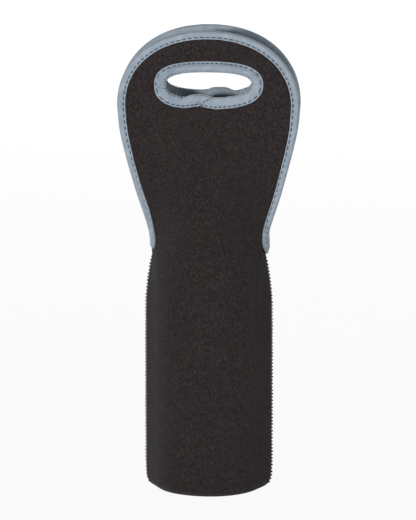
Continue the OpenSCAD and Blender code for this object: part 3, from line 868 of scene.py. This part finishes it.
def buildSlotTape(tape, side):
    where, route = sideNames[side], slotRoute()
    section, shown = bindingSection(tape)
    reach = route.total + tape["overlap"]
    along = round(reach / tape["spacing"])
    count = round(route.total / tape["stitchPitch"])
    pitch = route.total / count
    row = tape["leg"] - tape["groove"]

    # The length along the route, shortened by the slant of the tape's cut end
    def lengthAt(share, w):
        return share * (reach - tape["slant"] * (w + carrier["tape"]))

    def place(i, j):
        w, h = section[j]
        t = lengthAt(i / along, max(w, -carrier["tape"]))
        u, z, inU, inZ = slotPlace(route, t, w)
        if j < shown:
            crimp = puckerAt(t, w, u, z, side)
            swell = crimp + dimpleAt(tape, pitch, t, w)
            # The tape swells round along the top of the slot and lies flat along its bottom
            high = smooth((z - slot["middle"] + tape["roundBelow"]) / tape["roundRun"])
            swell += tape["round"] * high * sin(pi * min(1, max(0, w / row)))
            swell += waveAt(tape["wave"], t, w, side) + lapRise(route, t)
            away = h + laminate / 2
            h += swell * (1 if away > 0 else -1) * min(1, abs(away) / tape["swellRun"])
            if w < tape["rim"]:
                shift = -crimp * pucker["rim"]
                if z < slot["middle"]:
                    away = (u - tape["narrowAt"]) / tape["narrowRun"]
                    shift += tape["narrow"] * exp(-away ** 2)
                w += shift * smooth((tape["rim"] - w) / tape["rim"])
            if w > tape["lipFrom"]:
                w += waveAt(tape["lipWave"], t, 3.0, side)
                w -= tape["startTuck"] if t < tape["overlap"] else 0
        return onEdge((u, z, inU, inZ), w, h, side)

    bm = wrapStrip(along, section, place, lengthScale=tape["spacing"])
    strip = makePiece(where + "_slot_tape", bm, "tape", side)
    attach(strip, where + "_lobe")
    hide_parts(where + "_slot_binding")

    bm = bmesh.new()
    luck = random.Random(14 + side)
    for k in range(count):
        middle = (k + 0.5) * pitch + luck.uniform(-tape["wander"], tape["wander"])
        onStart = middle < tape["overlap"] * tape["lapShare"]
        lift = tape["stitchLift"] + (tape["lapLift"] if onStart else lapRise(route, middle))
        sewStitch(bm, tape, lambda t: slotPlace(route, t, row), middle, row, lift, side, luck)
    # Two short rows along the slanted end of the tape
    normal = skin(tape["bumpAt"], tape["endMiddle"], side)[1]
    for away, places in tape["endRows"]:
        for w, h in places:
            ends = []
            for across in (w - tape["endReach"], w + tape["endReach"]):
                spot = slotPlace(route, lengthAt(1, across) - away, across)
                ends.append(onEdge(spot, across, h + tape["rise"], side))
            addStitch(bm, *ends, normal, tape["endSize"])
    stitches = makePiece(where + "_slot_stitches", bm, "thread", side)
    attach(stitches, where + "_lobe")
    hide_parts(where + "_slot_stitching")


for side in (0, 1):
    buildEdgeTape(edgeTape, side)
    buildSlotTape(slotTape, side)
print("bindings are sewn on")


# A place on the side seam: turn runs from -1 on the front face over the edge to 1 on the back
def onSeam(turn, z, reach, lift):
    u = lobeHalf - abs(turn) * reach
    if turn <= 0:
        point, normal = skin(round(u, 4), round(z, 4), 0, True)
        return point + normal * lift
    point, normal = skin(round(-u, 4), round(z, 4), 1, True)
    point = point + normal * lift
    return Vector((-point.x, -point.y, point.z))


# A tube of thread along a path, with its frame carried from one point to the next
def addTube(path, radius, sides=5):
    up = Vector((0.3, 0.2, 1)).normalized()
    frames = []
    for k, point in enumerate(path):
        along = (path[min(len(path) - 1, k + 1)] - path[max(0, k - 1)]).normalized()
        across = along.cross(up).normalized()
        up = across.cross(along).normalized()
        frames.append((point, across, up))
    section = [(radius * cos(2 * pi * j / sides), radius * sin(2 * pi * j / sides)) for j in range(sides)]

    def place(i, j):
        point, across, up = frames[i]
        return point + across * section[j][0] + up * section[j][1]

    return wrapStrip(len(path) - 1, section, place)


# One loop of the overlock is given as its turn, its rise in pitches and its lift
overlock = {"pitch": 2.53, "reach": 4.2, "thread": 0.24, "low": 3.0, "high": 175.0,
            "loop": [(1.0, 0.0, 0.08), (0.7, 0.2, 0.16), (0.35, 0.38, 0.2), (0.08, 0.46, 0.25),
                     (0.0, 0.52, 0.3), (0.08, 0.58, 0.25), (0.4, 0.7, 0.2), (0.76, 0.88, 0.16)],
            "knotLength": 1.5, "knotSize": (2.2, 1.3), "knotLift": 0.3, "knotWander": 0.12,
            "sinkAt": 168.0, "sinkRun": 5.0, "sink": 0.5,
            "needleReach": 4.5, "needleLength": 0.78, "needleSize": (0.5, 0.35),
            "needleLift": 0.05, "needleWander": 0.1}


def joinMeshes(parts):
    whole = bmesh.new()
    for part in parts:
        mesh = meshFrom("part", part)
        whole.from_mesh(mesh)
        bpy.data.meshes.remove(mesh)
    return whole


def buildOverlock(where, side):
    pitch, reach = overlock["pitch"], overlock["needleReach"]
    count = int((overlock["high"] - overlock["low"]) / pitch)
    luck = random.Random(30 + side)
    parts = []
    for face in (-1, 1):
        path = []
        for k in range(count):
            z = overlock["low"] + k * pitch
            for turn, rise, lift in overlock["loop"]:
                path.append(onSeam(face * turn, z + rise * pitch, overlock["reach"], lift))
        parts.append(addTube(path, overlock["thread"]))
    # Knots of thread stand out along the very edge, and sink in under the tape ends
    needle = bmesh.new()
    for k in range(count):
        wander = luck.uniform(-overlock["knotWander"], overlock["knotWander"])
        middle = overlock["low"] + (k + 0.52) * pitch + wander
        half = overlock["knotLength"] / 2 * luck.uniform(0.85, 1.15)
        lift = overlock["knotLift"] * luck.uniform(0.5, 1.4)
        lift -= overlock["sink"] * smooth((middle - overlock["sinkAt"]) / overlock["sinkRun"])
        ends = []
        for z in (middle - half, middle + half):
            ends.append((onSeam(-0.01, z, 1, lift) + onSeam(0.01, z, 1, lift)) / 2)
        addStitch(needle, *ends, Vector((1, 0, 0)), overlock["knotSize"])
    for face in (-1, 1):
        for k in range(count):
            z = overlock["low"] + (k + 0.1) * pitch
            z += luck.uniform(-overlock["needleWander"], overlock["needleWander"])
            a = onSeam(face, z, reach, overlock["needleLift"])
            b = onSeam(face, z + pitch * overlock["needleLength"], reach, overlock["needleLift"])
            normal = onSeam(face, z, reach, 1.0) - onSeam(face, z, reach, 0.0)
            addStitch(needle, a, b, normal, overlock["needleSize"])
    needle.loops.layers.uv.new("cloth")
    bm = joinMeshes(parts + [needle])
    piece = makePiece(where + "_overlock_loops", bm, "seam_thread", side)
    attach(piece, "sleeve")
    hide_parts(where + "_seam_thread")


barTack = {"low": 173.0, "high": 178.0, "pitch": 0.62, "reach": 3.4, "thread": 0.26, "lift": 0.12,
           "loop": [(-1, 0), (-0.6, 0.1), (-0.25, 0.2), (0, 0.3), (0.25, 0.35), (0.6, 0.42), (1, 0.5),
                    (0.6, 0.6), (0.25, 0.7), (0, 0.78), (-0.25, 0.86), (-0.6, 0.94)]}


def buildBarTack(where, side):
    count = int((barTack["high"] - barTack["low"]) / barTack["pitch"])
    path = []
    for k in range(count):
        z = barTack["low"] + k * barTack["pitch"]
        for turn, rise in barTack["loop"]:
            path.append(onSeam(turn, z + rise * barTack["pitch"], barTack["reach"], barTack["lift"]))
    bm = addTube(path, barTack["thread"])
    piece = makePiece(where + "_tack_threads", bm, "seam_thread", side)
    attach(piece, "sleeve")
    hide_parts(where + "_bar_tack")


for side, where in enumerate(("right", "left")):
    buildOverlock(where, side)
    buildBarTack(where, side)
print("side seams are overlocked")

# The end of the bindings, folded round both edges at the throat and sewn down. Its outer edge
# hangs straight down, clear of the narrowing throat. The section is given from the front lip
# to the middle, as the distance from the edge and the share of its lift off the panel, and so
# is its lower edge: cut square on the left, pointed on the right
tab = {"thickness": 0.5, "rows": 26, "lip": 0.35, "taper": 7.0, "rufflePitch": 2.9, "rough": 0.12,
       "roughEdge": 0.2, "looseLift": 2.7, "looseSize": (0.6, 0.5),
       "section": [(7.7, 0.0), (7.6, 0.35), (7.0, 0.62), (5.6, 0.82), (3.9, 0.95), (2.3, 1.0),
                   (1.1, 0.99), (0.3, 0.96), (0, 0.9)],
       "left": {"edge": 41.8, "least": 0.4, "top": 190.0, "reach": (9.4, 11.2), "ruffle": 0.15, "loose": [],
                "ends": [182.4, 181.0, 179.2, 178.2, 179.6, 181.2, 181.6, 181.8, 181.8]},
       "right": {"edge": 44.1, "least": 0.9, "top": 191.5, "reach": (7.6, 8.0), "ruffle": 0.55,
                 "loose": [(0.6, 179.2, -0.3, 0.9), (5.2, 187.4, 0.9, 0.3), (5.4, 184.2, 0.9, -0.2)],
                 "ends": [182.1, 179.9, 177.3, 175.3, 176.3, 177.7, 178.7, 179.4, 179.8]}}


def buildTab(where, side):
    own, section = tab[where], tab["section"]
    halfway = len(section) - 1
    last = 2 * halfway

    def wrap(k, z, depth):
        fold = min(k, last - k)
        w, share = section[fold]
        w *= mix(*own["reach"], smooth((own["top"] - z) / tab["taper"])) / section[0][0]
        w += own["ruffle"] * (1 - share) * sin(2 * pi * z / tab["rufflePitch"])
        front = k <= halfway
        lift = mix(tab["lip"], max(own["least"], own["edge"] - rowAt(round(z, 2))[0]), share)
        spot = (lobeHalf, z, 1, 0) if front else (-lobeHalf, z, -1, 0)
        point = onEdge(spot, w, lift + tab["thickness"] - depth, 0 if front else 1)
        if fold == halfway:
            point.y = 0
        return point if front else Vector((-point.x, -point.y, point.z))

    ring = [(k * 1.2, 0) for k in range(last + 1)] + [(k * 1.2, 1) for k in range(last, -1, -1)]

    def place(i, j):
        k, depth = (j, 0.0) if j <= last else (2 * last + 1 - j, tab["thickness"])
        z = mix(own["ends"][min(k, last - k)], own["top"], i / tab["rows"])
        z += tab["roughEdge"] * noise.noise(Vector((k * 0.7, i * 0.9, 3.0 + side)))
        depth += tab["rough"] * noise.noise(Vector((k * 0.5, z / 2, 7.0 + side)))
        return wrap(k, z, depth)

    bm = wrapStrip(tab["rows"], ring, place, lengthScale=0.8)
    piece = makePiece(where + "_tape_tab", bm, "tape", side)
    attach(piece, "sleeve")
    if own["loose"]:
        bm = bmesh.new()
        for w, z, across, rise in own["loose"]:
            addEdgeStitch(bm, w, z, across, rise, tab["looseLift"], tab["looseSize"])
        piece = makePiece(where + "_tab_stitches", bm, "thread")
        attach(piece, "sleeve")


for side, where in enumerate(("right", "left")):
    buildTab(where, side)
print("tape ends are folded over the throat")


# Base: the same laminate cut to the sleeve's foot and sewn inside its edge
def footPoint(k, count, gap):
    u = mix(-lobeHalf, lobeHalf, (k % (count // 2)) / (count // 2))
    half, middle, edge, flat, inset = rowAt(carrier["footHeight"])
    roundX, roundY = roundSection(u / lobeHalf, half)
    x = (half - inset - gap) * roundX
    y = -(edge + (middle - inset - gap - edge) * roundY)
    return Vector((x, y, 0)) if k < count // 2 else Vector((-x, -y, 0))


# The base sags a little towards its middle, and its bottom face rises at the rim
base = {"segments": 96, "shares": [1, 0.985, 0.95, 0.87, 0.74, 0.58, 0.4, 0.22, 0.08], "reach": 40.0,
        "sag": 0.175, "bottomSag": 0.125, "sagRun": 22.0, "rimFrom": 0.55, "rimRise": 0.18,
        "jersey": (0.0, 0.4), "foam": (0.42, 2.58), "lining": (2.6, 3.0)}


def buildBase(layer):
    low, high = base[layer]
    count = base["segments"]
    places = [footPoint(k, count, carrier["seamGap"]) for k in range(count)]
    bm, station, rim = startCloth(places)
    for share in base["shares"][1:]:
        rim, corners = growCloth(bm, rim)
        for vert in corners:
            vert.co = places[vert[station]] * share
    bmesh.ops.edgeloop_fill(bm, edges=rim)
    upper = doubleCloth(bm, 1)
    for vert in bm.verts:
        out = smooth((vert.co.length / base["reach"] - base["rimFrom"]) / (1 - base["rimFrom"]))
        rise = base["bottomSag"] * (1 - out)
        if low:
            rise = base["sag"] * (1 - out) * (1 + noise.noise(vert.co / base["sagRun"]))
        elif vert not in upper:
            rise += base["rimRise"] * out ** 6
        vert.co.z = (high if vert in upper else low) + rise
    piece = makePiece("base_panel_" + layer, bm, layer)
    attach(piece, "sleeve")
    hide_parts("base_" + layer)
    return piece


bottom, cushion, top = [buildBase(layer) for layer in ("jersey", "foam", "lining")]

baseSeam = {"count": 42, "half": 1.5, "inner": 0.1, "outer": 0.55, "size": (0.8, 0.6)}


def buildBaseSeam():
    bm = bmesh.new()
    for k in range(baseSeam["count"]):
        spot = footPoint(k * 4, baseSeam["count"] * 4, 0.0)
        reach = spot.normalized() * baseSeam["half"]
        a = spot - reach + Vector((0, 0, laminate + baseSeam["inner"]))
        b = spot + reach + Vector((0, 0, laminate + baseSeam["outer"]))
        addStitch(bm, a, b, Vector((0, 0, 1)), baseSeam["size"])
    piece = makePiece("base_seam_stitches", bm, "seam_thread")
    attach(piece, "sleeve")
    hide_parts("base_seam_thread")


buildBaseSeam()
print("base is in")
